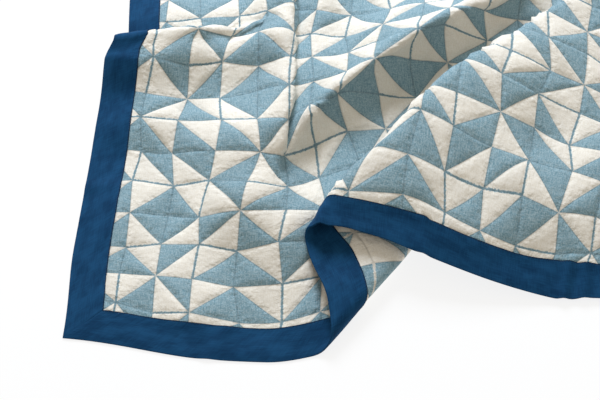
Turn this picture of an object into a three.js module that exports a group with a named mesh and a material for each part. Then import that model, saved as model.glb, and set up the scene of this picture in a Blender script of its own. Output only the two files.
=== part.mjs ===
// A quilted patchwork throw with a wide binding, lying loosely on a floor. Its front right part is turned
// over itself in a long slanting fold, and smaller folds run back from the middle of the left half.
// Millimetres, +Z up. A point of the flat cloth is (s, t): s runs right along the front edge and t runs
// back from it, both counted from the outer corner at the front left.
import * as THREE from 'three';

// Cut sizes
const WIDTH = 1270;
const LENGTH = 1524;
const BAND = 48; // binding, from the outer edge to its seam
const PATCH = 50; // side of a pieced square, which is two triangles
const FIRST_S = 64; // first seam line inside the left binding
const FIRST_T = 60; // first seam line inside the front binding
const WOBBLE = 6; // hand piecing: how far a patch's corner may lie off the grid
const GAP = 0.3; // left between neighbouring pieces
const MITRE_GAP = 0.22; // taken off each strip along the binding at a mitred corner

// Heights from the middle of the cloth
const UNDER = 1.3; // down to the underside
const SEAM = 0.9; // up to the top at a quilted seam
const PUFF = 4; // up to the top in the middle of a patch
const DOME = 14; // distance from a seam at which a patch has its full puff

// The laid throw's middle, which is the part's origin
const MIDDLE_S = 614.2;
const MIDDLE_T = 784.8;

// Fineness of the faces
const TOLERANCE = 2.1; // how far the cloth may bow away from a straight edge
const SPLITS = 5; // how often an edge may be halved
const FAN_AREA = 200; // a patch larger than this gets a raised point in its middle
const CURVE_STEPS = 300; // steps along a fold's section
const BEFORE = 60; // degrees before a fold's first edge that still count as before it
const HUMP_START = 0.4; // share of a fold's tip that is a plain hump
const HUMP_SLIM = 2.2; // a hump's slack over its height
const FAR_END = 2.2; // at far times this a fold has swung aside and is a plain hump again
const NUDGE = 0.5; // step that the cloth's slope is measured over

// Folds, from the right of the throw to its left. Each fans out from a point (s, t) where it dies away. Its
// first edge leaves that point at start degrees, counted from +s, and the fold is crossed in the direction
// of sense. At reach from the point the section has its full size, and it runs on unchanged from there: an
// arc of lift degrees, a straight run, an arc of over degrees, a second run that comes down, an arc that
// eases the cloth to slope degrees and one that lays it flat. first, crest, foot and out are the lengths of
// those arcs. Within tip of its point the fold opens into a plain hump. From far on it does so again, and
// swings aside by swing degrees. The cloth beyond a fold is turned by what it takes up, and drawn in along
// it by draw. That ends over fade degrees, which start hold degrees past the fold.
const FOLDS = [
  { name: 'flap', s: 1058, t: 903, start: -130, sense: 1, reach: 1200, run: 150, lift: 172, over: -182,
    first: 38, crest: 38, foot: 90, tip: 440, draw: 0, hold: 40, fade: 120,
    slope: 1, out: 1, far: 9000, swing: 0 },
  { name: 'roll', s: 240, t: 285, start: 68, sense: -1, reach: 280, run: 118, lift: 34, over: -125,
    first: 60, crest: 28, foot: 18, tip: 90, draw: 0, hold: 40, fade: 100,
    slope: 34, out: 105, far: 400, swing: 26 },
  { name: 'crease', s: 246, t: 262, start: 120, sense: -1, reach: 160, run: 80, lift: 30, over: -140,
    first: 50, crest: 28, foot: 28, tip: 50, draw: 0, hold: 20, fade: 90,
    slope: 1, out: 1, far: 9000, swing: 0 },
  { name: 'pleat', s: 272, t: 547, start: 203, sense: -1, reach: 270, run: 44, lift: 50, over: -186,
    first: 30, crest: 24, foot: 24, tip: 160, draw: 22, hold: 20, fade: 90,
    slope: 1, out: 1, far: 9000, swing: 0 },
];

// Soft swells and pulls: the middle, the half axes and how far the cloth moves there
const SWELLS = [
  { name: 'front left corner', s: 0, t: 0, wide: 190, deep: 150, right: 7, back: 13, up: 0 },
  { name: 'back of the flap', s: 620, t: 270, wide: 260, deep: 310, right: -14, back: 8, up: 32 },
  { name: 'lip of the flap', s: 470, t: 0, wide: 90, deep: 90, right: -6, back: -12, up: -12 },
  { name: 'corner of the lip', s: 540, t: 58, wide: 100, deep: 82, right: -22, back: -14, up: -6 },
  { name: 'seam right of the lip', s: 705, t: 75, wide: 150, deep: 80, right: 0, back: -12, up: -5 },
  { name: 'front of the flap', s: 720, t: 0, wide: 220, deep: 260, right: 0, back: -18, up: 0 },
  { name: 'nick in the flap edge', s: 905, t: 0, wide: 75, deep: 130, right: 0, back: 12, up: 5 },
  { name: 'ridge of the flap', s: 800, t: 560, wide: 220, deep: 260, right: -26, back: 4, up: 22 },
  { name: 'front of the pleat', s: 50, t: 540, wide: 200, deep: 250, right: 0, back: -15, up: 22 },
  { name: 'brow of the crease', s: 215, t: 390, wide: 110, deep: 200, right: 0, back: 0, up: 14 },
  { name: 'shoulder by the crease', s: 226, t: 320, wide: 90, deep: 130, right: 12, back: -12, up: 22 },
  { name: 'tip of the roll', s: 318, t: 410, wide: 110, deep: 120, right: 4, back: -8, up: 6 },
];

// Broad creases: soft ridges, or troughs where up is below 0, along a line between two points (s, t)
const CREASES = [
  { name: 'brow of the pleat', from: [20, 448], to: [110, 474], wide: 32, up: 22 },
  { name: 'brow, right', from: [165, 484], to: [235, 500], wide: 28, up: 12 },
  { name: 'behind the pleat', from: [60, 560], to: [240, 572], wide: 38, up: 12 },
  { name: 'crown of the left half', from: [150, 318], to: [212, 338], wide: 40, up: 12 },
  { name: 'across below the crease', from: [215, 212], to: [262, 192], wide: 58, up: 30 },
  { name: 'beside the crease', from: [304, 350], to: [314, 620], wide: 36, up: 21 },
  { name: 'shoulder of the flap', from: [600, 105], to: [760, 345], wide: 50, up: 12 },
  { name: 'middle of the flap', from: [700, 80], to: [830, 240], wide: 75, up: 13 },
  { name: 'trough in the flap', from: [770, 195], to: [860, 285], wide: 36, up: -10 },
  { name: 'right of that trough', from: [830, 110], to: [940, 240], wide: 68, up: 18 },
  { name: 'brow of the roll', from: [372, 372], to: [548, 498], wide: 24, up: 14 },
  { name: 'foot of the roll', from: [430, 345], to: [560, 425], wide: 30, up: -8 },
  { name: 'behind the roll', from: [350, 440], to: [430, 560], wide: 42, up: 12 },
];

// The front edge is hitched back to the right of the left half
const HITCH = { back: 26, fromS: 250, overS: 130, fromT: 150, overT: 500 };

// One repeat of the piecing, a row of squares for each line from the front. The letter gives the dark
// triangle's corner: a front left, b front right, c back right, d back left.
const CHART = [
  'bcbabbda', 'adbaddcb', 'cddabcab', 'bacbadab', 'ccbcabda', 'aaaddccb', 'dacdbabc', 'cbbabaad',
];

// Section of the binding: distance from the outer edge, and heights above and below the cloth's middle
const BAND_SECTION = [
  { across: 0, top: 0.4, under: 1.0 },
  { across: 8, top: 1.2, under: UNDER },
  { across: 18, top: 1.4, under: UNDER },
  { across: 28, top: 1.5, under: UNDER },
  { across: 38, top: 1.4, under: UNDER },
  { across: BAND, top: 1.1, under: UNDER },
];

// The binding's strips, each followed with the cloth on its left
const STRIPS = [
  { name: 'binding_front', length: WIDTH, at: (along, across) => [along, across] },
  { name: 'binding_right', length: LENGTH, at: (along, across) => [WIDTH - across, along] },
  { name: 'binding_back', length: WIDTH, at: (along, across) => [WIDTH - along, LENGTH - across] },
  { name: 'binding_left', length: LENGTH, at: (along, across) => [across, LENGTH - along] },
];

const { clamp, degToRad, euclideanModulo, lerp, smoothstep } = THREE.MathUtils;

// A fold's section as angles at its point: across and up, for equal steps along the cloth
function foldSection(fold) {
  const lift = degToRad(fold.lift);
  const over = degToRad(fold.over);
  const slope = degToRad(fold.slope);
  const down = lift + over;
  const risen = (fold.first * (1 - Math.cos(lift))) / lift
    + (fold.run - (fold.first + fold.crest) / 2) * Math.sin(lift)
    + (fold.crest * (Math.cos(lift) - Math.cos(down))) / over
    + (fold.foot * (Math.cos(slope) - Math.cos(down))) / (down + slope)
    + (fold.out * (Math.cos(slope) - 1)) / slope;
  const descent = (fold.crest + fold.foot) / 2 - risen / Math.sin(down);
  const crestAt = fold.first / 2 + fold.run;
  const footAt = crestAt + descent;
  const outAt = footAt + (fold.foot + fold.out) / 2;
  const length = outAt + fold.out / 2;
  const bend = (p, middle, size) => clamp((p - middle) / size + 0.5, 0, 1);
  const step = length / CURVE_STEPS / fold.reach;
  const across = [0];
  const up = [0];
  for (let k = 0; k < CURVE_STEPS; k += 1) {
    const p = ((k + 0.5) * length) / CURVE_STEPS;
    const heading = lift * bend(p, fold.first / 2, fold.first)
      + over * bend(p, crestAt, fold.crest) - (down + slope) * bend(p, footAt, fold.foot)
      + slope * bend(p, outAt, fold.out);
    across.push(across[k] + step * Math.cos(heading));
    up.push(up[k] + step * Math.sin(heading));
  }
  const span = length / fold.reach;
  const wide = across[CURVE_STEPS];
  const level = up.map((height, k) => height - (up[CURVE_STEPS] * k) / CURVE_STEPS);
  return { span, wide, across, up: level, hump: Math.sqrt(span * span - wide * wide) / HUMP_SLIM };
}

const SECTIONS = FOLDS.map(foldSection);

function sample(values, share) {
  const place = share * CURVE_STEPS;
  const k = Math.min(Math.floor(place), CURVE_STEPS - 1);
  return lerp(values[k], values[k + 1], place - k);
}

// Lays a point of the cloth that is already at place over one fold
function layOverFold(fold, section, s, t, place) {
  const radius = Math.hypot(s - fold.s, t - fold.t);
  const past = Math.max(1, radius / fold.reach);
  const away = smoothstep(radius, fold.far, FAR_END * fold.far);
  const bearing = Math.atan2(t - fold.t, s - fold.s) - degToRad(fold.start + fold.swing * away);
  let turned = euclideanModulo(fold.sense * bearing, 2 * Math.PI);
  if (turned > degToRad(360 - BEFORE)) turned -= 2 * Math.PI;
  const half = section.span / 2;
  const share = clamp(half + (turned - half) * past, 0, section.span) / section.span;
  const open = 1 - smoothstep(radius, HUMP_START * fold.tip, fold.tip) + away;
  const across = lerp(sample(section.across, share), section.wide * share, open);
  const up = lerp(sample(section.up, share), section.hump * Math.sin(Math.PI * share) ** 2, open);
  const fadeFrom = section.span + degToRad(fold.hold);
  const full = 1 - smoothstep(turned, fadeFrom, fadeFrom + degToRad(fold.fade));
  const taken = (share * section.span - across) * full;
  const drawn = 1 - ((fold.draw / fold.reach) * taken) / (section.span - section.wide);
  const shorter = (1 - (1 - Math.cos(up)) / past) * drawn;
  const turn = (-fold.sense * taken) / past;
  const dx = place.x - fold.s;
  const dy = place.y - fold.t;
  return new THREE.Vector3(
    fold.s + shorter * (Math.cos(turn) * dx - Math.sin(turn) * dy),
    fold.t + shorter * (Math.sin(turn) * dx + Math.cos(turn) * dy),
    place.z + Math.min(radius, fold.reach) * Math.sin(up),
  );
}

// Height of the creases: for each a bell over the distance to its line
function creaseHeight(s, t) {
  return CREASES.reduce((height, { from, to, wide, up }) => {
    const [ds, dt] = [to[0] - from[0], to[1] - from[1]];
    const along = clamp(((s - from[0]) * ds + (t - from[1]) * dt) / (ds * ds + dt * dt), 0, 1);
    const gap = Math.hypot(s - from[0] - along * ds, t - from[1] - along * dt);
    return height + up * Math.exp(-((gap / wide) ** 2));
  }, 0);
}

// Where the middle of the cloth lies
function drape(s, t) {
  let place = new THREE.Vector3(s, t, UNDER);
  FOLDS.forEach((fold, k) => {
    place = layOverFold(fold, SECTIONS[k], s, t, place);
  });
  place.y += HITCH.back * smoothstep(s, HITCH.fromS, HITCH.fromS + HITCH.overS)
    * (1 - smoothstep(t, HITCH.fromT, HITCH.fromT + HITCH.overT));
  for (const swell of SWELLS) {
    const off = ((s - swell.s) / swell.wide) ** 2 + ((t - swell.t) / swell.deep) ** 2;
    const share = clamp(1 - off, 0, 1) ** 2;
    place.add(new THREE.Vector3(swell.right, swell.back, swell.up).multiplyScalar(share));
  }
  place.z += creaseHeight(s, t);
  return place;
}

function drapeNormal(s, t) {
  const along = drape(s + NUDGE, t).sub(drape(s - NUDGE, t));
  const away = drape(s, t + NUDGE).sub(drape(s, t - NUDGE));
  return along.cross(away).normalize();
}

const raised = ([s, t], height) => drape(s, t).addScaledVector(drapeNormal(s, t), height);

// A steady number between -1 and 1 for a corner of the piecing
function scatter(i, j, salt) {
  const wave = Math.sin(i * 127.1 + j * 311.7 + salt * 74.7) * 43758.5453;
  return 2 * (wave - Math.floor(wave)) - 1;
}

const corner = (i, j) => [
  FIRST_S + PATCH * i + WOBBLE * scatter(i, j, 1),
  FIRST_T + PATCH * j + WOBBLE * scatter(i, j, 2),
];

// The two triangles of a pieced square, counter-clockwise from above
function squarePatches(i, j) {
  const [a, b, c, d] = [corner(i, j), corner(i + 1, j), corner(i + 1, j + 1), corner(i, j + 1)];
  const code = CHART[euclideanModulo(j, CHART.length)][euclideanModulo(i, CHART[0].length)];
  return code === 'a' || code === 'c' ? [[a, b, d], [b, c, d]] : [[a, b, c], [a, c, d]];
}

// The part of an outline where one coordinate is above or below a limit
function clip(outline, axis, limit, keepAbove) {
  const keeps = (point) => (keepAbove ? point[axis] >= limit : point[axis] <= limit);
  return outline.flatMap((point, k) => {
    const next = outline[(k + 1) % outline.length];
    const kept = keeps(point) ? [point] : [];
    if (keeps(point) === keeps(next)) return kept;
    const share = (limit - point[axis]) / (next[axis] - point[axis]);
    const cut = [lerp(point[0], next[0], share), lerp(point[1], next[1], share)];
    cut[axis] = limit;
    return [...kept, cut];
  });
}

const RIM = { low: BAND + GAP, highS: WIDTH - BAND - GAP, highT: LENGTH - BAND - GAP };

// Every patch that shows inside the binding
function piecing() {
  const columns = Math.ceil((RIM.highS - FIRST_S) / PATCH);
  const rows = Math.ceil((RIM.highT - FIRST_T) / PATCH);
  const patches = [];
  for (let j = -1; j < rows; j += 1) {
    for (let i = -1; i < columns; i += 1) {
      for (const patch of squarePatches(i, j)) {
        let outline = clip(patch, 0, RIM.low, true);
        outline = clip(outline, 0, RIM.highS, false);
        outline = clip(outline, 1, RIM.low, true);
        outline = clip(outline, 1, RIM.highT, false);
        if (outline.length > 2) patches.push(outline);
      }
    }
  }
  return patches;
}

// Height of a patch's top over the middle of the cloth: a dome that falls to the seam at every side
function puffHeight([s, t], outline) {
  const nearest = outline.reduce((least, [s0, t0], k) => {
    const [s1, t1] = outline[(k + 1) % outline.length];
    const off = ((s1 - s0) * (t - t0) - (t1 - t0) * (s - s0)) / Math.hypot(s1 - s0, t1 - t0);
    return Math.min(least, Math.max(off, 0));
  }, DOME);
  return lerp(SEAM, PUFF, 1 - (1 - nearest / DOME) ** 2);
}

const outlineArea = (outline) => 0.5 * outline.reduce((sum, [s0, t0], k) => {
  const [s1, t1] = outline[(k + 1) % outline.length];
  return sum + s0 * t1 - s1 * t0;
}, 0);

// Points of the flat cloth, each kept once
class PointSet {
  constructor() {
    this.points = [];
    this.heights = [];
    this.index = new Map();
  }

  add(point, height) {
    const key = point.map((value) => Math.round(value * 1000)).join();
    if (!this.index.has(key)) {
      this.index.set(key, this.points.length);
      this.points.push(point);
      this.heights.push(height);
    }
    return this.index.get(key);
  }
}

// How far the cloth bows away from the straight line between two of its points
function bow(from, to) {
  const [start, end] = [drape(...from), drape(...to)];
  return Math.max(...[0.25, 0.5, 0.75].map((share) => {
    const middle = drape(lerp(from[0], to[0], share), lerp(from[1], to[1], share));
    return middle.distanceTo(start.clone().lerp(end, share));
  }));
}

// Cuts a triangle whose sides may have a point in the middle; a side without one has -1
function cutTriangle([a, b, c], [ab, bc, ca]) {
  if (ab < 0 && bc < 0 && ca < 0) return [[a, b, c]];
  if (ab < 0) return cutTriangle([b, c, a], [bc, ca, ab]);
  if (bc >= 0 && ca >= 0) return [[a, ab, ca], [ab, b, bc], [ca, bc, c], [ab, bc, ca]];
  if (bc >= 0) return [[ab, b, bc], [a, ab, bc], [a, bc, c]];
  if (ca >= 0) return [[a, ab, ca], [ab, b, c], [ab, c, ca]];
  return [[a, ab, c], [ab, b, c]];
}

// Patches as triangles of the flat cloth, with every side halved until it follows the folds
function foldedPatches() {
  const set = new PointSet();
  let patches = piecing().map((outline) => {
    const ring = outline.map((point) => set.add(point, SEAM));
    return { outline, ring, triangles: ring.slice(2).map((last, k) => [ring[0], ring[k + 1], last]) };
  });
  for (let pass = 0; pass < SPLITS; pass += 1) {
    const middles = new Map();
    const halve = (a, b, outline) => {
      const key = a < b ? `${a} ${b}` : `${b} ${a}`;
      if (!middles.has(key)) {
        const [from, to] = [set.points[a], set.points[b]];
        const point = [(from[0] + to[0]) / 2, (from[1] + to[1]) / 2];
        const bows = bow(from, to) > TOLERANCE;
        middles.set(key, bows ? set.add(point, puffHeight(point, outline)) : -1);
      }
      return middles.get(key);
    };
    patches = patches.map((patch) => ({
      ...patch,
      triangles: patch.triangles.flatMap(([a, b, c]) => cutTriangle([a, b, c], [
        halve(a, b, patch.outline), halve(b, c, patch.outline), halve(c, a, patch.outline),
      ])),
    }));
  }
  return { set, patches };
}

function geometryOf(points, faces) {
  const geometry = new THREE.BufferGeometry();
  geometry.setAttribute('position', new THREE.Float32BufferAttribute(points.flatMap((p) => p.toArray()), 3));
  geometry.setIndex(faces.flat());
  geometry.computeVertexNormals();
  return geometry;
}

// The quilted panel: puffed top, smooth underside and a wall along its rim
function panelGeometry({ set, patches }) {
  const count = set.points.length;
  const points = [
    ...set.points.map((point, k) => raised(point, set.heights[k])),
    ...set.points.map((point) => raised(point, -UNDER)),
  ];
  const faces = [];
  const open = new Map();
  for (const { outline, ring, triangles } of patches) {
    const middle = [0, 1].map((axis) => outline.reduce((sum, p) => sum + p[axis], 0) / outline.length);
    const whole = triangles.length === ring.length - 2 && outlineArea(outline) > FAN_AREA;
    if (whole && outline.every((point) => bow(point, middle) < TOLERANCE)) {
      points.push(raised(middle, puffHeight(middle, outline)));
      ring.forEach((a, k) => faces.push([a, ring[(k + 1) % ring.length], points.length - 1]));
    } else {
      faces.push(...triangles);
    }
    for (const [a, b, c] of triangles) {
      faces.push([a + count, c + count, b + count]);
      for (const [from, to] of [[a, b], [b, c], [c, a]]) {
        if (!open.delete(`${to} ${from}`)) open.set(`${from} ${to}`, [from, to]);
      }
    }
  }
  for (const [a, b] of open.values()) {
    faces.push([a + count, b + count, a], [b + count, b, a]);
  }
  return geometryOf(points, faces);
}

// Places along a strip where the panel's rim has a point, so that both bend alike
function stations(strip, set) {
  const start = strip.at(0, RIM.low);
  const end = strip.at(strip.length, RIM.low);
  const axis = start[0] === end[0] ? 1 : 0;
  const places = set.points
    .filter((point) => point[1 - axis] === start[1 - axis])
    .map((point) => Math.abs(point[axis] - start[axis]))
    .sort((a, b) => a - b);
  return places.slice(1, -1);
}

// One strip of the binding, carried along its edge between two mitred ends. Its top and its underside are
// cut into triangles alike, so that they stay apart where the strip bends askew.
function stripGeometry(strip, set) {
  const loop = [
    ...BAND_SECTION.map(({ across, top }) => ({ across, height: top })),
    ...BAND_SECTION.map(({ across, under }) => ({ across, height: -under })).reverse(),
  ];
  const inner = stations(strip, set);
  const alongs = [
    (across) => across + MITRE_GAP,
    ...inner.map((place) => () => place),
    (across) => strip.length - across - MITRE_GAP,
  ];
  const points = alongs.flatMap((along) => loop.map(
    ({ across, height }) => raised(strip.at(along(across), across), height),
  ));
  const size = loop.length;
  const faces = [];
  for (let k = 0; k + 1 < alongs.length; k += 1) {
    for (let m = 0; m < size; m += 1) {
      const next = (m + 1) % size;
      const [a, b, c, d] = [k * size + m, (k + 1) * size + m, (k + 1) * size + next, k * size + next];
      if (m < BAND_SECTION.length) faces.push([a, b, c], [a, c, d]);
      else faces.push([a, b, d], [b, c, d]);
    }
  }
  const last = (alongs.length - 1) * size;
  for (let m = 0; m + 1 < size / 2; m += 1) {
    const [a, b, c, d] = [m, m + 1, size - 2 - m, size - 1 - m];
    faces.push([a, b, c], [a, c, d]);
    faces.push([last + a, last + c, last + b], [last + a, last + d, last + c]);
  }
  return geometryOf(points, faces);
}

function named(name, geometry, material) {
  const mesh = new THREE.Mesh(geometry, material);
  mesh.name = name;
  return mesh;
}

const patchwork = new THREE.MeshStandardMaterial({ color: 0xb3c3c8, roughness: 0.9, metalness: 0 });
const navy = new THREE.MeshStandardMaterial({ color: 0x144673, roughness: 0.85, metalness: 0 });

const folded = foldedPatches();
const throwBlanket = new THREE.Group();
throwBlanket.add(named('quilted_panel', panelGeometry(folded), patchwork));
for (const strip of STRIPS) {
  throwBlanket.add(named(strip.name, stripGeometry(strip, folded.set), navy));
}
throwBlanket.position.set(-MIDDLE_S, -MIDDLE_T, 0);

export default throwBlanket;
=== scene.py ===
"""A quilted patchwork throw with a wide binding, lying loosely on a pale floor.

Metres, +Z up. A point of the flat cloth is (s, t): s runs right along the front edge and t runs back from it,
both counted from the outer corner at the front left. The drape lays that point over each fold in turn.
"""
import math

import bpy
import numpy as np
from mathutils import Matrix, Vector


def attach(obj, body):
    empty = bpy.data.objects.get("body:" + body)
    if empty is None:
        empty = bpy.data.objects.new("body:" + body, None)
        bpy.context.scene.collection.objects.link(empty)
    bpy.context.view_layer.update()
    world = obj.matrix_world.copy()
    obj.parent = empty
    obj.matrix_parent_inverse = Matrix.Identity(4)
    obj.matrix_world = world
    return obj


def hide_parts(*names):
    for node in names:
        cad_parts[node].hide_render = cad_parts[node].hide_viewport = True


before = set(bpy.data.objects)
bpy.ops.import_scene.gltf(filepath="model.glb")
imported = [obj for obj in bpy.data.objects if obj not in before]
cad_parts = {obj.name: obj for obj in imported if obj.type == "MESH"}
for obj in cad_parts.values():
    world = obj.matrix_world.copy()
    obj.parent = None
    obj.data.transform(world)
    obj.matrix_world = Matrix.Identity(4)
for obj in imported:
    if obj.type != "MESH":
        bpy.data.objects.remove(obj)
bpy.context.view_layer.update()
chance = np.random.default_rng(17)

# Cut sizes
WIDTH, LENGTH = 1.270, 1.524
BAND = 0.048  # binding, from the outer edge to its seam
PATCH = 0.050  # side of a pieced square, which is two triangles
FIRST_S, FIRST_T = 0.064, 0.060  # first seam lines inside the left and the front binding
COLUMNS, ROWS = 24, 29  # squares that show, and one more before them runs under the binding
WOBBLE = 0.006  # hand piecing: how far a patch's corner may lie off the grid
TUCK = 0.003  # the panel's own edge lies this far inside the binding, from its seam

# Heights from the middle of the cloth
UNDER = 0.0013  # down to the underside
SEAM = 0.0006  # up to the top at a seam
PUFF = 0.0048  # up to the top in the middle of a patch
DENT = 0.0010  # how far a seam draws the underside in
DOME = 0.013  # distance from a seam at which a patch has its full puff
FULLNESS = 0.68, 1.20  # least and most share of PUFF that a patch has
CRINKLE = 0.0008  # small unevenness of a patch's top
CRINKLE_LONG = 0.018, 0.045  # least and most length of its waves
TUCKED = 0.0005  # half the thickness of the panel inside the binding
RIM_EASE = 0.012  # distance from the binding over which the panel rises from its seam

# The laid throw's middle, which is the part's origin
MIDDLE_S, MIDDLE_T = 0.6142, 0.7848

# Fineness of the meshes
PARTS = 8  # pieces that a patch's side is cut into
CROWD = 1.6  # how much the points of a patch crowd towards its sides
WELD = 1e-7  # points in the same cell of this size are one
CURVE_STEPS = 300  # steps along a fold's section
NUDGE = 0.0005  # step that the cloth's slope is measured over
STATION = 0.004  # step along a binding strip

# Folds, from the right of the throw to its left. Each fans out from a point (s, t) where it dies away. Its
# first edge leaves that point at start degrees, and the fold is crossed in the direction of sense. At reach
# the section has its full size: arcs of lift and over degrees with a run between them, a run down, an arc
# that eases the cloth to slope degrees and one that lays it flat. first, crest, foot and out are the arcs'
# lengths. Within tip the fold opens into a plain hump. From far on it does so again, and swings aside by
# swing degrees. The cloth beyond is turned by what the fold takes up, and drawn in along it by draw, which
# ends over fade degrees, from hold degrees past the fold.
FOLDS = [
    dict(name="flap", s=1.058, t=0.903, start=-130, sense=1, reach=1.200, run=0.150, lift=172, over=-182,
         first=0.038, crest=0.038, foot=0.090, tip=0.440, draw=0, hold=40, fade=120,
         slope=1, out=0.001, far=9, swing=0),
    dict(name="roll", s=0.240, t=0.285, start=68, sense=-1, reach=0.280, run=0.118, lift=34, over=-125,
         first=0.060, crest=0.028, foot=0.018, tip=0.090, draw=0, hold=40, fade=100,
         slope=34, out=0.105, far=0.4, swing=26),
    dict(name="crease", s=0.246, t=0.262, start=120, sense=-1, reach=0.160, run=0.080, lift=30, over=-140,
         first=0.050, crest=0.028, foot=0.028, tip=0.050, draw=0, hold=20, fade=90,
         slope=1, out=0.001, far=9, swing=0),
    dict(name="pleat", s=0.272, t=0.547, start=203, sense=-1, reach=0.270, run=0.044, lift=50, over=-186,
         first=0.030, crest=0.024, foot=0.024, tip=0.160, draw=0.022, hold=20, fade=90,
         slope=1, out=0.001, far=9, swing=0),
]
BEFORE = 60  # degrees before a fold's first edge that still count as before it
HUMP_START = 0.4  # share of a fold's tip that is a plain hump
HUMP_SLIM = 2.2  # a hump's slack over its height
FAR_END = 2.2  # at far times this a fold has swung aside and is a plain hump again

# Soft swells and pulls: the middle, the half axes and how far the cloth moves there
SWELLS = [
    dict(name="front left corner", s=0, t=0, wide=0.190, deep=0.150, move=(0.007, 0.013, 0)),
    dict(name="back of the flap", s=0.620, t=0.270, wide=0.260, deep=0.310, move=(-0.014, 0.008, 0.032)),
    dict(name="lip of the flap", s=0.470, t=0, wide=0.090, deep=0.090, move=(-0.006, -0.012, -0.012)),
    dict(name="corner of the lip", s=0.540, t=0.058, wide=0.100, deep=0.082, move=(-0.022, -0.014, -0.006)),
    dict(name="seam right of the lip", s=0.705, t=0.075, wide=0.150, deep=0.080, move=(0, -0.012, -0.005)),
    dict(name="front of the flap", s=0.720, t=0, wide=0.220, deep=0.260, move=(0, -0.018, 0)),
    dict(name="nick in the flap edge", s=0.905, t=0, wide=0.075, deep=0.130, move=(0, 0.012, 0.005)),
    dict(name="ridge of the flap", s=0.800, t=0.560, wide=0.220, deep=0.260, move=(-0.026, 0.004, 0.022)),
    dict(name="front of the pleat", s=0.050, t=0.540, wide=0.200, deep=0.250, move=(0, -0.015, 0.022)),
    dict(name="brow of the crease", s=0.215, t=0.390, wide=0.110, deep=0.200, move=(0, 0, 0.014)),
    dict(name="shoulder by the crease", s=0.226, t=0.320, wide=0.09, deep=0.13, move=(0.012, -0.012, 0.022)),
    dict(name="tip of the roll", s=0.318, t=0.410, wide=0.110, deep=0.120, move=(0.004, -0.008, 0.006)),
]

# The front edge is hitched back to the right of the left half
HITCH = dict(back=0.026, from_s=0.250, over_s=0.130, from_t=0.150, over_t=0.500)

# Creases: soft ridges, or troughs where up is below 0, from one point of the cloth to another. The solids
# have the broad ones too.
CREASES = [
    dict(name="brow of the pleat", start=(0.020, 0.448), end=(0.110, 0.474), wide=0.032, up=0.022),
    dict(name="brow, right", start=(0.165, 0.484), end=(0.235, 0.500), wide=0.028, up=0.012),
    dict(name="left of the trough", start=(0.030, 0.342), end=(0.100, 0.350), wide=0.034, up=0.008),
    dict(name="behind the pleat", start=(0.060, 0.560), end=(0.240, 0.572), wide=0.038, up=0.012),
    dict(name="trough before the pleat", start=(0.130, 0.392), end=(0.235, 0.456), wide=0.026, up=-0.006),
    dict(name="crown of the left half", start=(0.150, 0.318), end=(0.212, 0.338), wide=0.040, up=0.012),
    dict(name="across below the crease", start=(0.215, 0.212), end=(0.262, 0.192), wide=0.058, up=0.030),
    dict(name="beside the crease", start=(0.304, 0.350), end=(0.314, 0.620), wide=0.036, up=0.021),
    dict(name="shoulder of the flap", start=(0.600, 0.105), end=(0.760, 0.345), wide=0.050, up=0.012),
    dict(name="middle of the flap", start=(0.700, 0.080), end=(0.830, 0.240), wide=0.075, up=0.013),
    dict(name="trough in the flap", start=(0.770, 0.195), end=(0.860, 0.285), wide=0.036, up=-0.010),
    dict(name="right of that trough", start=(0.830, 0.110), end=(0.940, 0.240), wide=0.068, up=0.018),
    dict(name="flap, first", start=(0.560, 0.110), end=(0.640, 0.240), wide=0.020, up=0.0035),
    dict(name="brow of the roll", start=(0.372, 0.372), end=(0.548, 0.498), wide=0.024, up=0.014),
    dict(name="foot of the roll", start=(0.430, 0.345), end=(0.560, 0.425), wide=0.030, up=-0.008),
    dict(name="behind the roll", start=(0.350, 0.440), end=(0.430, 0.560), wide=0.042, up=0.012),
    dict(name="top of the roll", start=(0.360, 0.520), end=(0.400, 0.690), wide=0.016, up=0.0030),
    dict(name="pinch in the lip", start=(0.505, -0.004), end=(0.512, 0.026), wide=0.005, up=-0.0040),
    dict(name="beside that pinch", start=(0.516, -0.004), end=(0.526, 0.032), wide=0.006, up=0.0035),
    dict(name="flap binding", start=(0.652, -0.004), end=(0.640, 0.052), wide=0.007, up=0.0030),
    dict(name="nick in the binding", start=(0.842, -0.004), end=(0.838, 0.050), wide=0.007, up=0.0040),
    dict(name="nick, right", start=(0.868, 0.000), end=(0.862, 0.046), wide=0.008, up=0.0030),
    dict(name="left binding, high", start=(-0.004, 0.452), end=(0.050, 0.448), wide=0.006, up=0.0022),
    dict(name="left binding, low", start=(-0.004, 0.246), end=(0.050, 0.254), wide=0.008, up=0.0018),
    dict(name="front binding", start=(0.182, -0.004), end=(0.206, 0.048), wide=0.009, up=0.0018),
]

# The cloth's uneven lie: low waves in seeded directions, which end at its outer edges and towards the back
LIE = 0.007  # from the lowest to the highest of them
LIE_EASE = 0.060  # distance from an outer edge over which they rise
LIE_END = 0.560, 0.760  # from the front edge: they fade from here to here
LIE_WAVES = 12
LIE_TURN, LIE_PHASE = chance.uniform(0, 2 * math.pi, (2, LIE_WAVES))
LIE_PITCH = 2 * math.pi / chance.uniform(0.075, 0.170, LIE_WAVES)

# One repeat of the piecing, a row of squares for each word from the front. The letter gives the blue
# triangle's corner: a front left, b front right, c back right, d back left.
CHART = "bcbabbda adbaddcb cddabcab bacbadab ccbcabda aaaddccb dacdbabc cbbabaad".split()

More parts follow.
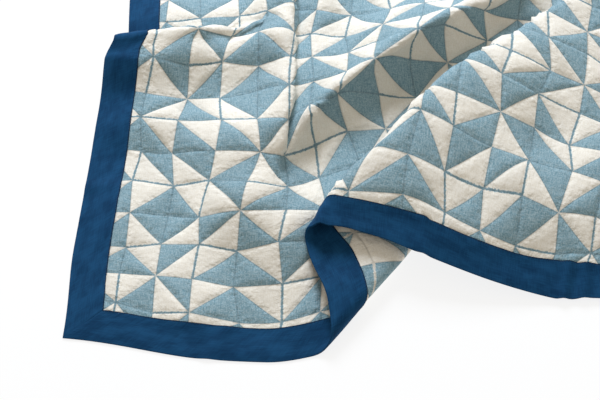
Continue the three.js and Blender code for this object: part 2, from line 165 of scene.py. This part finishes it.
# The binding's cloth and its stitches
CLOTH = 0.00045  # thickness of the binding's cloth
NOSE = 0.0009  # radius of its outer fold
LAP = 0.0004  # it laps over the panel's rim by this
EDGE_TOP, BODY_TOP, SEAM_TOP = 0.0007, 0.0019, 0.0018  # top of the binding at its edge, middle and seam
BODY_FROM, DIP_FROM = 0.012, 0.036  # from the outer fold: where the body begins, and its dip to the seam
SEAM_STEPS = 0.0008, 0.0030  # from the seam edge to the first points of the binding's section
MITRE_STEPS = 0, 0.0009, 0.0022  # first points along a strip, as shares of it
MITRE_DEEP, MITRE_WIDE = 0.0005, 0.0016  # the groove at a mitre
WANDER = 0.012  # how far the seam edge strays, as a share of BAND
WANDER_LONG = 0.05, 0.22  # least and most length of its waves
RUMPLE = 0.00025  # small unevenness of a strip's top
RUMPLE_LONG = 0.012, 0.040  # least and most length of its waves
STITCH_STEP, STITCH_LONG, STITCH_WIDE, STITCH_HIGH = 0.0034, 0.0022, 0.0006, 0.0003
STITCH_IN = 0.0011  # from the binding's seam edge to its stitches
STITCH_RISE = 0.3  # share of a stitch's height that its middle stands over the cloth
STRAY_ALONG, STRAY_ACROSS = 0.0003, 0.0002  # how far a stitch may lie off its place


def smoothstep(x, low, high):
    """0 up to low, 1 from high, and three times the square less twice the cube of the share between."""
    share = np.clip((x - low) / (high - low), 0, 1)
    return share * share * (3 - 2 * share)


def lerp(start, end, share):
    """The value that lies at a share of the way from start to end."""
    return start + (end - start) * share


def fold_section(fold):
    """A fold's section, as angles seen from its point, for equal steps along the cloth.

    The heading turns by lift, by over, back to slope and to level, each evenly over its arc. Its cosine and
    sine are summed up as the ways across and up. The second run is as long as it takes to come down again.
    """
    lift, over, slope = (math.radians(fold[key]) for key in ("lift", "over", "slope"))
    first, crest, foot, out = (fold[key] for key in ("first", "crest", "foot", "out"))
    run, reach = fold["run"], fold["reach"]
    down = lift + over
    risen = (first * (1 - math.cos(lift)) / lift
             + (run - (first + crest) / 2) * math.sin(lift)
             + crest * (math.cos(lift) - math.cos(down)) / over
             + foot * (math.cos(slope) - math.cos(down)) / (down + slope)
             + out * (math.cos(slope) - 1) / slope)
    crest_at = first / 2 + run
    foot_at = crest_at + (crest + foot) / 2 - risen / math.sin(down)
    out_at = foot_at + (foot + out) / 2
    length = out_at + out / 2
    place = (np.arange(CURVE_STEPS) + 0.5) * length / CURVE_STEPS

    def bend(middle, size):
        return np.clip((place - middle) / size + 0.5, 0, 1)

    heading = lift * bend(first / 2, first) + over * bend(crest_at, crest)
    heading += slope * bend(out_at, out) - (down + slope) * bend(foot_at, foot)
    step = length / CURVE_STEPS / reach
    across = np.concatenate([[0], np.cumsum(np.cos(heading)) * step])
    up = np.concatenate([[0], np.cumsum(np.sin(heading)) * step])
    up = up - up[-1] * np.linspace(0, 1, len(up))
    span = length / reach
    hump = math.sqrt(span**2 - across[-1] ** 2) / HUMP_SLIM
    return dict(span=span, wide=across[-1], across=across, up=up, hump=hump)


SECTIONS = [fold_section(fold) for fold in FOLDS]
SHARES = np.linspace(0, 1, CURVE_STEPS + 1)


def lay_over_fold(fold, section, s, t, place):
    """Lays points of the cloth, which are already at place, over one fold.

    The point's bearing from the fold's own point gives its share of the section. It is turned about that
    point by what the section takes up, brought nearer by the cosine of its rise, and lifted by its sine.
    """
    radius = np.hypot(s - fold["s"], t - fold["t"])
    past = np.maximum(1, radius / fold["reach"])
    away = smoothstep(radius, fold["far"], FAR_END * fold["far"])
    bearing = np.arctan2(t - fold["t"], s - fold["s"]) - np.radians(fold["start"] + fold["swing"] * away)
    turned = np.mod(fold["sense"] * bearing, 2 * math.pi)
    turned = np.where(turned > math.radians(360 - BEFORE), turned - 2 * math.pi, turned)
    span, wide = section["span"], section["wide"]
    share = np.clip(span / 2 + (turned - span / 2) * past, 0, span) / span
    opened = 1 - smoothstep(radius, HUMP_START * fold["tip"], fold["tip"]) + away
    across = lerp(np.interp(share, SHARES, section["across"]), wide * share, opened)
    hump = section["hump"] * np.sin(math.pi * share) ** 2
    up = lerp(np.interp(share, SHARES, section["up"]), hump, opened)
    fade_from = span + math.radians(fold["hold"])
    full = 1 - smoothstep(turned, fade_from, fade_from + math.radians(fold["fade"]))
    taken = (share * span - across) * full
    drawn = 1 - fold["draw"] / fold["reach"] * taken / (span - wide)
    shorter = (1 - (1 - np.cos(up)) / past) * drawn
    turn = -fold["sense"] * taken / past
    x, y = place[..., 0] - fold["s"], place[..., 1] - fold["t"]
    return np.stack([
        fold["s"] + shorter * (np.cos(turn) * x - np.sin(turn) * y),
        fold["t"] + shorter * (np.sin(turn) * x + np.cos(turn) * y),
        place[..., 2] + np.minimum(radius, fold["reach"]) * np.sin(up),
    ], -1)


def crease_height(s, t):
    """Height of the creases: for each, a bell over the distance to the line between its two ends."""
    height = np.zeros_like(s)
    for crease in CREASES:
        (s0, t0), (s1, t1) = crease["start"], crease["end"]
        length = math.dist(crease["start"], crease["end"])
        along = np.clip(((s - s0) * (s1 - s0) + (t - t0) * (t1 - t0)) / length**2, 0, 1)
        gap = np.hypot(s - lerp(s0, s1, along), t - lerp(t0, t1, along))
        height += crease["up"] * np.exp(-((gap / crease["wide"]) ** 2))
    return height


def lie_height(s, t):
    """Height of the uneven lie: a sum of sine waves, made 0 to 1 and faded at the edges."""
    waves = (np.cos(LIE_TURN) * s[..., None] + np.sin(LIE_TURN) * t[..., None]) * LIE_PITCH + LIE_PHASE
    share = np.clip(0.5 + np.sin(waves).sum(-1) / math.sqrt(8 * LIE_WAVES), 0, 1)
    inside = np.minimum.reduce([s, WIDTH - s, t])
    return LIE * share * smoothstep(inside, 0, LIE_EASE) * (1 - smoothstep(t, *LIE_END))


def drape(s, t):
    """Where the middle of the cloth lies, in the part's frame: over each fold in turn, then the hitch of the
    front edge, the swells, each a squared paraboloid over its half axes, the creases and the uneven lie."""
    place = np.stack([s, t, np.full_like(s, UNDER)], -1)
    for fold, section in zip(FOLDS, SECTIONS):
        place = lay_over_fold(fold, section, s, t, place)
    hitched = smoothstep(s, HITCH["from_s"], HITCH["from_s"] + HITCH["over_s"])
    hitched *= 1 - smoothstep(t, HITCH["from_t"], HITCH["from_t"] + HITCH["over_t"])
    place[..., 1] += HITCH["back"] * hitched
    for swell in SWELLS:
        off = ((s - swell["s"]) / swell["wide"]) ** 2 + ((t - swell["t"]) / swell["deep"]) ** 2
        place += np.clip(1 - off, 0, 1)[..., None] ** 2 * swell["move"]
    place[..., 2] += crease_height(s, t) + lie_height(s, t)
    return place - (MIDDLE_S, MIDDLE_T, 0)


def cloth_frame(s, t):
    """The cloth's middle, and its unit slopes along s and t with their cross product, the normal."""
    along = drape(s + NUDGE, t) - drape(s - NUDGE, t)
    away = drape(s, t + NUDGE) - drape(s, t - NUDGE)
    normal = np.cross(along, away)
    along, away, normal = (v / np.linalg.norm(v, axis=-1, keepdims=True) for v in (along, away, normal))
    return drape(s, t), along, away, normal


def skins(s, t, *heights):
    """Layers of points, each at its heights over the cloth's middle along its normal."""
    middle, _, _, normal = cloth_frame(s, t)
    return np.concatenate([(middle + normal * height[..., None]).reshape(-1, 3) for height in heights])


def closed_sheet(faces, count):
    """Triangles of a closed sheet: the upper skin, the lower one turned over, and a wall along the rim.

    The rim is every edge that has a triangle on one side alone. The lower skin's points follow the upper's.
    """
    edges = faces[:, [0, 1, 1, 2, 2, 0]].reshape(-1, 2)
    _, first, uses = np.unique(np.sort(edges, 1), axis=0, return_index=True, return_counts=True)
    a, b = edges[first[uses == 1]].T
    walls = np.concatenate([np.stack([b, a, a + count], 1), np.stack([b, a + count, b + count], 1)])
    return np.concatenate([faces, faces[:, ::-1] + count, walls])


def dome(distance, reach):
    """How full a puff is at a distance from its seam: a parabola that is 0 there and 1 from reach on."""
    return 1 - (1 - np.clip(distance / reach, 0, 1)) ** 2


def ripples(s, t, lengths, count=14):
    """Small unevenness from about -1 to 1: a sum of sine waves in seeded directions and lengths."""
    turn = chance.uniform(0, 2 * math.pi, count)
    pitch = 2 * math.pi / chance.uniform(*lengths, count)
    phase = chance.uniform(0, 2 * math.pi, count)
    waves = np.cos(turn) * pitch * s[..., None] + np.sin(turn) * pitch * t[..., None] + phase
    return np.sin(waves).sum(-1) / math.sqrt(2 * count)


def scatter(i, j, salt):
    """A steady number between -1 and 1 for a corner of the piecing: the tail of a large sine."""
    wave = np.sin(i * 127.1 + j * 311.7 + salt * 74.7) * 43758.5453
    return 2 * (wave - np.floor(wave)) - 1


def corner(i, j):
    """A corner of the piecing on the flat cloth: the even grid, moved by up to WOBBLE each way."""
    s = FIRST_S + PATCH * i + WOBBLE * scatter(i, j, 1)
    t = FIRST_T + PATCH * j + WOBBLE * scatter(i, j, 2)
    return np.stack([s, t], -1)


def piecing():
    """Corners of every patch, counter-clockwise from above, and which patches are cream."""
    i, j = (index.ravel() for index in np.meshgrid(np.arange(-1, COLUMNS), np.arange(-1, ROWS)))
    a, b, c, d = corner(i, j), corner(i + 1, j), corner(i + 1, j + 1), corner(i, j + 1)
    chart = np.array([list(word) for word in CHART])
    letter = chart[j % len(chart), i % len(chart[0])]
    falling = np.isin(letter, ("a", "c"))[:, None, None]
    front = np.where(falling, np.stack([a, b, d], 1), np.stack([a, b, c], 1))
    back = np.where(falling, np.stack([b, c, d], 1), np.stack([a, c, d], 1))
    blue_in_front = np.isin(letter, ("a", "b"))
    return np.concatenate([front, back]), np.concatenate([~blue_in_front, blue_in_front])


def cream_sides(corners, cream):
    """Which sides of each patch have cream on both hands: their middle is shared by two cream patches."""
    middle = (corners[:, [2, 0, 1]] + corners[:, [1, 2, 0]]).reshape(-1, 2)
    _, which = np.unique(np.round(middle / WELD).astype(np.int64), axis=0, return_inverse=True)
    which = which.ravel()
    return (np.bincount(which, np.repeat(cream, 3))[which] == 2).reshape(-1, 3)


def cut_triangle():
    """Weights of the corners for each point of a patch, and the small triangles between the points.

    The weights run evenly from corner to corner, and a power of them draws the points towards the sides.
    """
    row, col = np.tril_indices(PARTS + 1)
    weights = (np.stack([PARTS - row, row - col, col], -1) / PARTS) ** CROWD
    weights /= weights.sum(-1, keepdims=True)

    def at(row, col):
        return row * (row + 1) // 2 + col

    row, col = np.tril_indices(PARTS)
    upright = np.stack([at(row, col), at(row + 1, col), at(row + 1, col + 1)], -1)
    row, col = np.tril_indices(PARTS, -1)
    turned = np.stack([at(row, col), at(row + 1, col + 1), at(row, col + 1)], -1)
    return weights, np.concatenate([upright, turned])


def new_piece(name, points, faces, material, smooth_below=None):
    """A mesh object at the origin from arrays of points and triangles, riding on the throw's one body."""
    mesh = bpy.data.meshes.new(name)
    mesh.vertices.add(len(points))
    mesh.vertices.foreach_set("co", points.astype(np.float32).ravel())
    mesh.loops.add(faces.size)
    mesh.loops.foreach_set("vertex_index", faces.astype(np.int32).ravel())
    mesh.polygons.add(len(faces))
    mesh.polygons.foreach_set("loop_start", np.arange(0, faces.size, 3, dtype=np.int32))
    mesh.polygons.foreach_set("use_smooth", np.ones(len(faces), bool))
    mesh.update(calc_edges=True)
    if smooth_below is not None:
        mesh.set_sharp_from_angle(angle=math.radians(smooth_below))
    mesh.materials.append(material)
    piece = bpy.data.objects.new(name, mesh)
    bpy.context.scene.collection.objects.link(piece)
    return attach(piece, "root")


def give_values(piece, name, domain, values):
    """A number for each point, corner or face of a piece, for its finish to read."""
    made = piece.data.attributes.new(name, "FLOAT", domain)
    made.data.foreach_set("value", np.asarray(values, np.float32))


def give_map(piece, name, corners):
    """A UV map from a pair of numbers for each corner of each triangle."""
    piece.data.uv_layers.new(name=name).data.foreach_set("uv", corners.astype(np.float32).ravel())


def twice_area(corners):
    """Twice the area of flat triangles, which is the cross product of two sides."""
    one, two = corners[..., 1, :] - corners[..., 0, :], corners[..., 2, :] - corners[..., 0, :]
    return one[..., 0] * two[..., 1] - one[..., 1] * two[..., 0]


def trim(triangles, axis, edge, keep):
    """Triangles cut off along a straight line of the cloth, with their other values shared along the cut.

    Each corner is a row that begins with s and t. keep is 1 where the side beyond the line stays, and -1
    where the side before it does. A triangle is turned to begin with the corner that is alone on its side.
    """
    depth = keep * (triangles[..., axis] - edge)
    count = (depth > 0).sum(1)
    cut = (count == 1) | (count == 2)
    whole, triangles, depth, one = triangles[count == 3], triangles[cut], depth[cut], count[cut] == 1
    alone = ((depth > 0) == one[:, None]).argmax(1)
    turn = (alone[:, None] + np.arange(3)) % 3
    depth = np.take_along_axis(depth, turn, 1)
    a, b, c = np.take_along_axis(triangles, turn[..., None], 1).swapaxes(0, 1)
    beside_b = lerp(a, b, (depth[:, 0] / (depth[:, 0] - depth[:, 1]))[:, None])
    beside_c = lerp(a, c, (depth[:, 0] / (depth[:, 0] - depth[:, 2]))[:, None])
    return np.concatenate([
        whole, np.stack([a, beside_b, beside_c], 1)[one],
        np.stack([beside_b, b, c], 1)[~one], np.stack([beside_b, c, beside_c], 1)[~one]])


def quilted_panel(material):
    """The quilted panel: every patch is a net of points between its corners. A point's distance to the
    nearest side is its weight there times the patch's height over that side, and the puff is a dome of it.
    The outer patches are cut off a little way inside the binding."""
    corners, cream = piecing()
    weights, cuts = cut_triangle()
    flat = np.einsum("pk,ckx->cpx", weights, corners)
    side = np.linalg.norm(corners[:, [2, 0, 1]] - corners[:, [1, 2, 0]], axis=-1)
    to_sides = weights * (twice_area(corners)[:, None] / side)[:, None]
    seam = to_sides.min(-1)
    cream_seam = np.where(cream_sides(corners, cream)[:, None], to_sides, PATCH).min(-1)
    fullness = np.broadcast_to(chance.uniform(*FULLNESS, len(corners))[:, None], seam.shape)

    patch = np.broadcast_to(np.arange(len(corners))[:, None], seam.shape)
    values = np.stack([flat[..., 0], flat[..., 1], seam, cream_seam, fullness, patch], -1)
    net = values[:, cuts].reshape(-1, 3, values.shape[-1])
    for axis, size in enumerate((WIDTH, LENGTH)):
        net = trim(trim(net, axis, BAND - TUCK, 1), axis, size - BAND + TUCK, -1)
    s, t, seam, cream_seam, fullness, patch = np.moveaxis(net, -1, 0)
    cells = np.round(np.stack([s.ravel(), t.ravel()], 1) / WELD).astype(np.int64)
    _, first, which = np.unique(cells, axis=0, return_index=True, return_inverse=True)
    top_faces = which.reshape(-1, 3)
    kept = (top_faces != np.roll(top_faces, 1, 1)).all(1)
    top_faces, cream_seam, patch = top_faces[kept], cream_seam[kept], patch[kept, 0].astype(int)
    s, t, seam, fullness = (value.ravel()[first] for value in (s, t, seam, fullness))

    puff = dome(seam, DOME)
    inside = np.minimum.reduce([s - BAND, WIDTH - BAND - s, t - BAND, LENGTH - BAND - t])
    shows = dome(inside, RIM_EASE)
    top = lerp(SEAM, PUFF * fullness, puff) + CRINKLE * puff * ripples(s, t, CRINKLE_LONG)
    upper = lerp(TUCKED, top, shows)
    lower = -lerp(TUCKED, UNDER - DENT * (1 - puff), shows)
    faces = closed_sheet(top_faces, len(s))

    piece = new_piece("quilted_panel_cloth", skins(s, t, upper, lower), faces, material)
    walls = len(faces) - 2 * len(top_faces)
    tint = chance.uniform(-1, 1, len(corners))
    give_values(piece, "cream", "FACE", np.concatenate([cream[patch], cream[patch], np.zeros(walls)]))
    give_values(piece, "tint", "FACE", np.concatenate([tint[patch], tint[patch], np.zeros(walls)]))
    underside = np.repeat([0, 1, 1], [len(top_faces), len(top_faces), walls])
    give_values(piece, "underside", "FACE", underside)
    give_values(piece, "seam", "POINT", np.tile(seam, 2))
    give_values(piece, "cream_seam", "CORNER", np.concatenate([
        cream_seam.ravel(), cream_seam[:, ::-1].ravel(), np.full(3 * walls, PATCH)]))
    st = np.stack([np.tile(s, 2), np.tile(t, 2)], -1)[faces.ravel()]
    beside = np.repeat(underside, 3)
    give_map(piece, "cloth", st + beside[:, None] * (2 * WIDTH, 0))
    sheet = np.stack([(st[:, 0] + beside * WIDTH) / (2 * WIDTH), st[:, 1] / LENGTH], -1)
    give_map(piece, "OFBake", sheet)
    return piece


# The binding's strips, each followed with the cloth on its left: its length, and where it lies
STRIPS = {
    "binding_front": (WIDTH, lambda along, across: (along, across)),
    "binding_right": (LENGTH, lambda along, across: (WIDTH - across, along)),
    "binding_back": (WIDTH, lambda along, across: (WIDTH - along, LENGTH - across)),
    "binding_left": (LENGTH, lambda along, across: (across, LENGTH - along)),
}


def band_top(across):
    """Height of the binding's top: a dome from its outer fold that dips again at its seam."""
    dip = (BODY_TOP - SEAM_TOP) * smoothstep(across, DIP_FROM, BAND)
    return lerp(EDGE_TOP, BODY_TOP, dome(across, BODY_FROM)) - dip


def band_section():
    """The binding's section, from the seam on its face round the outer fold to the seam on its underside.

    Straight runs lead to a half ellipse, once for the cloth's outside and once for its inside.
    """
    run = np.concatenate([[BAND, BAND - SEAM_STEPS[0]], np.linspace(BAND - SEAM_STEPS[1], NOSE, 12)])
    turn = np.linspace(0, math.pi, 9)[1:-1]
    top = band_top(run)
    middle, half = (top[-1] - UNDER) / 2, (top[-1] + UNDER) / 2
    level = np.full_like(run, -UNDER)
    across = np.concatenate([run, NOSE * (1 - np.sin(turn)), run[::-1]])
    outside = np.concatenate([top, middle + half * np.cos(turn), level])
    inner_across = np.concatenate([run, NOSE - (NOSE - CLOTH) * np.sin(turn), run[::-1]])
    inside = np.concatenate([top - CLOTH, middle + (half - CLOTH) * np.cos(turn), level + CLOTH])
    return across, outside, inner_across, inside


def binding_strip(node, material):
    """One strip of the binding, cloth folded over the throw's edge. One parameter runs from mitre to mitre,
    and the other round the section, whose ends wander a little along the seam."""
    length, at = STRIPS[node]
    even = np.linspace(0, 1, int(length / STATION) + 1)
    ends = np.array(MITRE_STEPS)
    share = np.concatenate([ends, even[1:-1], 1 - ends[::-1]])[:, None]
    across, outside, inner_across, inside = band_section()
    wander = 1 + LAP / BAND + WANDER * np.sin(math.pi * share) * ripples(share * length, share, WANDER_LONG)
    mitre = MITRE_DEEP * np.exp(-((np.minimum(share, 1 - share) * length / MITRE_WIDE) ** 2))
    sunk = mitre * (outside > 0)

    def place(section):
        widened = section * wander
        return at(lerp(widened, length - widened, share), widened)

    s, t = place(across)
    uneven = RUMPLE * ripples(s, t, RUMPLE_LONG) * (outside > 0)
    outer = skins(s, t, outside - sunk + uneven)
    inner = skins(*place(inner_across), inside - sunk)
    index = np.arange(s.size).reshape(s.shape)
    a, b, c, d = (x.ravel() for x in (index[:-1, :-1], index[:-1, 1:], index[1:, 1:], index[1:, :-1]))
    skin = np.concatenate([np.stack([a, b, c], 1), np.stack([a, c, d], 1)])
    faces = closed_sheet(skin, s.size)
    piece = new_piece(node + "_cloth", np.concatenate([outer, inner]), faces, material, smooth_below=50)

    along = np.broadcast_to(share * length, s.shape)
    round_fold = np.concatenate([[0], np.cumsum(np.hypot(np.diff(across), np.diff(outside)))])
    strip_map = np.stack([along, np.broadcast_to(round_fold, s.shape)], -1).reshape(-1, 2)
    give_map(piece, "cloth", np.tile(strip_map, (2, 1))[faces.ravel()])
    from_seam = np.broadcast_to(BAND - across, s.shape).ravel()
    give_values(piece, "from_seam", "POINT", np.tile(from_seam, 2))
    return piece


def bead():
    """A stitch: a slim rounded bead along x of half length 1, its radius the root of one less x squared."""
    around, rows = 5, np.array([-0.75, 0, 0.75])
    angle = np.arange(around) * 2 * math.pi / around
    radius = np.sqrt(1 - rows**2)[:, None]
    along = np.broadcast_to(rows[:, None], (len(rows), around))
    ring = np.stack([along, radius * np.cos(angle), radius * np.sin(angle)], -1)
    points = np.concatenate([[[-1, 0, 0]], ring.reshape(-1, 3), [[1, 0, 0]]])
    k, after = np.arange(around), (np.arange(around) + 1) % around
    start, end = np.zeros(around, int), np.full(around, len(points) - 1)
    low, middle, high = 1, 1 + around, 1 + 2 * around
    faces = [np.stack([start, low + after, low + k], 1), np.stack([end, high + k, high + after], 1)]
    for near, far in ((low, middle), (middle, high)):
        faces.append(np.stack([near + k, near + after, far + after], 1))
        faces.append(np.stack([near + k, far + after, far + k], 1))
    return points, np.concatenate(faces)


def binding_stitches(face, material):
    """A row of stitches along the seam of every strip, on one face: the bead, set in the cloth's frame."""
    shape, cuts = bead()
    points = []
    for length, at in STRIPS.values():
        along = np.arange(BAND, length - BAND, STITCH_STEP)
        along = along + chance.uniform(-STRAY_ALONG, STRAY_ALONG, len(along))
        across = BAND - STITCH_IN + chance.uniform(-STRAY_ACROSS, STRAY_ACROSS, len(along))
        s, t = at(along, across)
        s1, t1 = at(along + NUDGE, across)
        middle, ahead, away, normal = cloth_frame(s, t)
        level = SEAM_TOP if face > 0 else UNDER
        run = ((s1 - s)[:, None] * ahead + (t1 - t)[:, None] * away) / NUDGE
        cross = np.cross(normal, run)
        centre = middle + face * normal * (level + STITCH_HIGH * STITCH_RISE)
        half = np.stack([run * STITCH_LONG / 2, cross * STITCH_WIDE / 2, normal * STITCH_HIGH], 1)
        points.append((centre[:, None] + shape @ half).reshape(-1, 3))
    points = np.concatenate(points)
    starts = np.arange(len(points) // len(shape))[:, None, None] * len(shape)
    name = "binding_stitches_face" if face > 0 else "binding_stitches_underside"
    return new_piece(name, points, (starts + cuts).reshape(-1, 3), material)


class Value:
    """A number that changes over a finish. Arithmetic on it adds Math nodes."""

    def __init__(self, finish, socket):
        self.finish, self.socket = finish, socket

    def reckon(self, operation, first, second):
        return self.finish.node("ShaderNodeMath", {"operation": operation}, {0: first, 1: second})

    def __add__(self, other):
        return self.reckon("ADD", self, other)

    def __sub__(self, other):
        return self.reckon("SUBTRACT", self, other)

    def __rsub__(self, other):
        return self.reckon("SUBTRACT", other, self)

    def __mul__(self, other):
        return self.reckon("MULTIPLY", self, other)

    __radd__, __rmul__ = __add__, __mul__

    def between(self, low, high):
        """0 below low, 1 above high and smooth between them."""
        values = {"Value": self, "From Min": low, "From Max": high}
        return self.finish.node("ShaderNodeMapRange", {"interpolation_type": "SMOOTHSTEP"}, values)


class Finish:
    """A material in the making, with its nodes."""

    def __init__(self, name, constants):
        self.material = bpy.data.materials.new(name)
        self.material.use_nodes = True
        self.tree = self.material.node_tree
        self.shader = self.tree.nodes["Principled BSDF"]
        self.feed(self.shader, constants)

    def feed(self, node, values):
        for key, value in values.items():
            if isinstance(value, Value):
                self.tree.links.new(value.socket, node.inputs[key])
            else:
                node.inputs[key].default_value = value

    def node(self, kind, settings, values, output=0):
        """A node of any kind: its settings first, then the values or links of its sockets."""
        made = self.tree.nodes.new(kind)
        for key, value in settings.items():
            setattr(made, key, value)
        self.feed(made, values)
        return Value(self, made.outputs[output])

    def attribute(self, name):
        return self.node("ShaderNodeAttribute", {"attribute_name": name}, {}, "Fac")

    def cloth_map(self):
        return self.node("ShaderNodeUVMap", {"uv_map": "cloth"}, {})

    def sized(self, place, across, along):
        """A place on the cloth, counted in grains of that size."""
        grain = (1 / across, 1 / along, 1)
        return self.node("ShaderNodeVectorMath", {"operation": "MULTIPLY"}, {0: place, 1: grain})

    def noise(self, place, across, along, detail=2.0):
        values = {"Vector": self.sized(place, across, along), "Scale": 1.0, "Detail": detail}
        return self.node("ShaderNodeTexNoise", {"noise_dimensions": "2D"}, values)

    def speckle(self, place, size):
        """A number from 0 to 1 for each small square of the cloth."""
        cell = self.node("ShaderNodeVectorMath", {"operation": "FLOOR"}, {0: self.sized(place, size, size)})
        return self.node("ShaderNodeTexWhiteNoise", {"noise_dimensions": "2D"}, {"Vector": cell})

    def mix(self, share, first, second, blend="MIX"):
        settings = {"data_type": "RGBA", "blend_type": blend}
        return self.node("ShaderNodeMix", settings, {0: share, 6: first, 7: second}, 2)

    def grey(self, value):
        """A colour with the same number in each channel."""
        return self.node("ShaderNodeCombineColor", {}, {0: value, 1: value, 2: value})

    def bump(self, height, distance):
        return self.node("ShaderNodeBump", {}, {"Height": height, "Distance": distance, "Strength": 1.0})

    def done(self, values):
        self.feed(self.shader, values)
        return self.material


def paint(red, green, blue):
    """A colour from its display values of 0 to 255."""
    channels = np.array([red, green, blue]) / 255
    return (*np.where(channels > 0.04045, ((channels + 0.055) / 1.055) ** 2.4, channels / 12.92), 1.0)


def patchwork_cotton():
    """Two cotton cloths, cream and blue, that meet at each patch's sides. Blue shows in the seams between
    cream patches, with a stepped edge, and on the underside the two colours are exchanged."""
    finish = Finish("patchwork cotton", {"Specular IOR Level": 0.15, "Sheen Weight": 0.06})
    place = finish.cloth_map()
    names = "cream", "seam", "cream_seam", "underside", "tint"
    cream, seam, cream_seam, underside, tint = (finish.attribute(name) for name in names)
    edge = 0.0008 + 0.0010 * finish.speckle(place, 0.0021)
    cream_top = cream * cream_seam.between(edge - 0.0004, edge + 0.0007)
    cream = cream_top + underside - 2 * cream_top * underside

    warp = finish.noise(place, 0.0012, 0.012)
    weft = finish.noise(place, 0.012, 0.0012)
    fleck = finish.noise(place, 0.0018, 0.0018, detail=1.0)
    cloud = finish.noise(place, 0.030, 0.030, detail=3.0)
    yarn = 0.34 * warp + 0.26 * weft + 0.40 * fleck
    blue = finish.mix(yarn.between(0.28, 0.72), paint(103, 140, 154), paint(164, 187, 194))
    natural = finish.mix(yarn.between(0.28, 0.72), paint(230, 222, 206), paint(243, 238, 228))
    colour = finish.mix(cream, blue, natural)
    shade = 0.88 + 0.14 * cloud + 0.035 * tint
    # Painted shade: the cloth's colour is darkened by up to a quarter within about 2 mm of every seam, where
    # shade falls into the seam's ditch.
    painted_seam_shade = 1 - 0.24 * (1 - seam.between(0.0, 0.0018))
    colour = finish.mix(1.0, colour, finish.grey(shade * painted_seam_shade * 1.04), "MULTIPLY")

    pucker = finish.noise(place, 0.008, 0.008) * (1 - seam.between(0.001, 0.014))
    relief = 0.30 * yarn + 2.1 * pucker + 0.8 * finish.noise(place, 0.024, 0.024)
    return finish.done({
        "Base Color": colour, "Roughness": 0.80 + 0.15 * yarn, "Normal": finish.bump(relief, 0.0011)})


def navy_cotton():
    """Plain navy cotton: a close weave with fine streaks across the strip, and a painted shadow that darkens
    it in its seam.
    """
    finish = Finish("navy cotton", {"Specular IOR Level": 0.08, "Sheen Weight": 0.02})
    place = finish.cloth_map()
    from_seam = finish.attribute("from_seam")
    streak = 0.5 * finish.noise(place, 0.0014, 0.016) + 0.5 * finish.noise(place, 0.020, 0.0012)
    cloud = finish.noise(place, 0.030, 0.016)
    tone = 0.55 * streak + 0.45 * cloud
    colour = finish.mix(tone.between(0.28, 0.72), paint(6, 50, 84), paint(24, 75, 115))
    # Painted shadow: the colour is darkened by up to 60 percent within about 2 mm of the seam, where the
    # binding meets the panel.
    painted_seam_shadow = 1 - 0.60 * (1 - from_seam.between(0.0004, 0.0020))
    colour = finish.mix(1.0, colour, finish.grey(painted_seam_shadow), "MULTIPLY")
    pucker = finish.noise(place, 0.0050, 0.014) * (1 - from_seam.between(0.002, 0.014))
    relief = 0.3 * streak + 0.8 * pucker + 0.7 * finish.noise(place, 0.022, 0.030)
    return finish.done({
        "Base Color": colour, "Roughness": 0.70 + 0.2 * streak, "Normal": finish.bump(relief, 0.0009)})


def navy_thread():
    """Dark thread with a slight gloss."""
    finish = Finish("navy thread", {"Roughness": 0.6})
    place = finish.node("ShaderNodeTexCoord", {}, {}, "Object")
    twist = finish.noise(place, 0.0006, 0.0006)
    return finish.done({"Base Color": finish.mix(twist, paint(8, 36, 68), paint(22, 62, 102))})


def pale_floor():
    """A plain pale floor, wide enough to fill the view."""
    half, low = 6.0, -0.0004
    mesh = bpy.data.meshes.new("floor")
    mesh.from_pydata([(-half, -half, low), (half, -half, low), (half, half, low), (-half, half, low)], [],
                     [(0, 1, 2, 3)])
    finish = Finish("pale floor", {
        "Base Color": (0.18, 0.18, 0.18, 1), "Roughness": 0.9, "Specular IOR Level": 0,
        "Emission Color": (1, 1, 1, 1), "Emission Strength": 0.83})
    mesh.materials.append(finish.material)
    floor = bpy.data.objects.new("floor", mesh)
    bpy.context.scene.collection.objects.link(floor)


def soft_light(name, place, aim, size, watts, colour):
    """A square light panel that faces a point."""
    light = bpy.data.lights.new(name, "AREA")
    light.size, light.energy, light.color = size, watts, colour
    panel = bpy.data.objects.new(name, light)
    panel.location = place
    panel.rotation_euler = (Vector(aim) - Vector(place)).to_track_quat("-Z", "Y").to_euler()
    bpy.context.scene.collection.objects.link(panel)


def studio():
    """Warm white surroundings, a soft light from behind, a little to the left, and the camera of the view,
    which looks down on a point of the floor through a long lens."""
    scene = bpy.context.scene
    scene.view_settings.view_transform = "Standard"
    scene.world = bpy.data.worlds.new("white room")
    scene.world.use_nodes = True
    scene.world.node_tree.nodes["Background"].inputs["Color"].default_value = (1, 0.945, 0.85, 1)
    scene.world.node_tree.nodes["Background"].inputs["Strength"].default_value = 0.50
    soft_light("key light", place=(-0.73, 1.61, 1.65), aim=(-0.3, -0.45, 0), size=1.1, watts=72,
               colour=(0.91, 1.0, 1.14))

    elevation, turn, distance = math.radians(55), math.radians(5.2), 2.662
    aim = Vector((0.2877 - MIDDLE_S, 0.2542 - MIDDLE_T, 0))
    right = Vector((math.cos(turn), math.sin(turn), 0))
    ahead = Vector((-math.sin(turn), math.cos(turn), 0))
    look = ahead * math.cos(elevation) - Vector((0, 0, math.sin(elevation)))
    up = ahead * math.sin(elevation) + Vector((0, 0, math.cos(elevation)))
    data = bpy.data.cameras.new("camera")
    data.lens, data.sensor_width, data.clip_end = 120, 36, 100
    camera = bpy.data.objects.new("camera", data)
    camera.matrix_world = Matrix((right, up, -look)).transposed().to_4x4()
    camera.matrix_world.translation = aim - look * distance
    scene.collection.objects.link(camera)
    scene.camera = camera


patchwork, navy, thread = patchwork_cotton(), navy_cotton(), navy_thread()
panel = quilted_panel(patchwork)
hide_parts("quilted_panel")
strips = {node: binding_strip(node, navy) for node in STRIPS}
for node, strip in strips.items():
    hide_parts(node)
rows = [binding_stitches(face, thread) for face in (1, -1)]

pale_floor()
studio()
